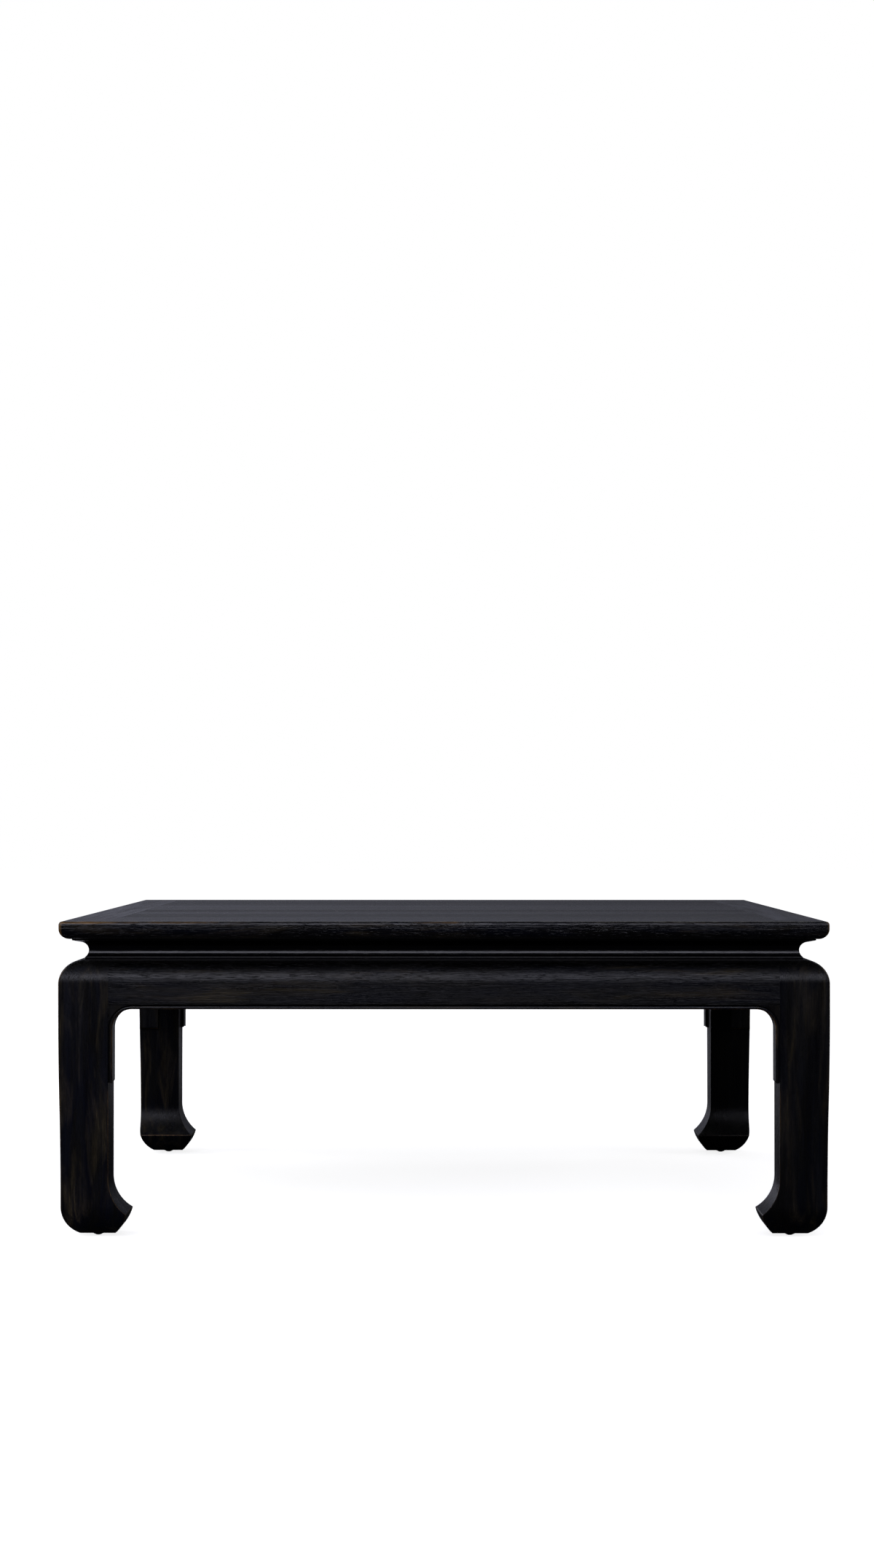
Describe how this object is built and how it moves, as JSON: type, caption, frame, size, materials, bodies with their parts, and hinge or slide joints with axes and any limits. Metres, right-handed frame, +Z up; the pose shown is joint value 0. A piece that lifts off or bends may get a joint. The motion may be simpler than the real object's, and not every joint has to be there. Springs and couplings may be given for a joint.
{
  "type": "kang table",
  "caption": "Low square table with a mitred frame top, flush planks, a coved waist, rounded aprons with a thin liner strip and inward-turned hoof feet.",
  "frame": {"origin": "on the floor, below the middle of the top", "axes": "+X along the front to the right, +Y towards the back, +Z up"},
  "size_m": [1.1212, 1.1212, 0.461],
  "materials": {
    "top_frame": "black lacquer-like stain on elm, satin, open grain, rubbed through on the arrises",
    "top_panel": "black lacquer-like stain on elm, satin, open grain, rubbed through on the arrises",
    "waist": "black lacquer-like stain on elm, satin, open grain, rubbed through on the arrises",
    "apron": "black lacquer-like stain on elm, satin, open grain, rubbed through on the arrises",
    "leg": "black lacquer-like stain on elm, satin, open grain, rubbed through on the arrises",
    "liner_strip": "black lacquer-like stain on elm, satin, open grain, rubbed through on the arrises",
    "corner_block": "black lacquer-like stain on elm, satin, open grain, rubbed through on the arrises",
    "batten": "thin dark wash on planed softwood, dull",
    "glide": "plain black moulded plastic"
  },
  "bodies": {
    "root": {"apron_back": "apron", "apron_front": "apron", "apron_left": "apron", "apron_right": "apron", "apron_strip_back": "liner_strip", "apron_strip_front": "liner_strip", "apron_strip_left": "liner_strip", "apron_strip_right": "liner_strip", "batten_1": "batten", "batten_2": "batten", "batten_3": "batten", "bracket_strip_back_a": "liner_strip", "bracket_strip_back_b": "liner_strip", "bracket_strip_front_a": "liner_strip", "bracket_strip_front_b": "liner_strip", "bracket_strip_left_a": "liner_strip", "bracket_strip_left_b": "liner_strip", "bracket_strip_right_a": "liner_strip", "bracket_strip_right_b": "liner_strip", "corner_block_back_a": "corner_block", "corner_block_back_b": "corner_block", "corner_block_front_a": "corner_block", "corner_block_front_b": "corner_block", "corner_block_left_a": "corner_block", "corner_block_left_b": "corner_block", "corner_block_right_a": "corner_block", "corner_block_right_b": "corner_block", "glide_back_left": "glide", "glide_back_right": "glide", "glide_front_left": "glide", "glide_front_right": "glide", "leg_back_left": "leg", "leg_back_right": "leg", "leg_front_left": "leg", "leg_front_right": "leg", "plank_1": "top_panel", "plank_2": "top_panel", "plank_3": "top_panel", "plank_4": "top_panel", "plank_5": "top_panel", "plank_6": "top_panel", "plank_7": "top_panel", "plank_8": "top_panel", "top_rail_back": "top_frame", "top_rail_front": "top_frame", "top_rail_left": "top_frame", "top_rail_right": "top_frame", "waist_back": "waist", "waist_front": "waist", "waist_left": "waist", "waist_right": "waist"}
  },
  "joints": []
}
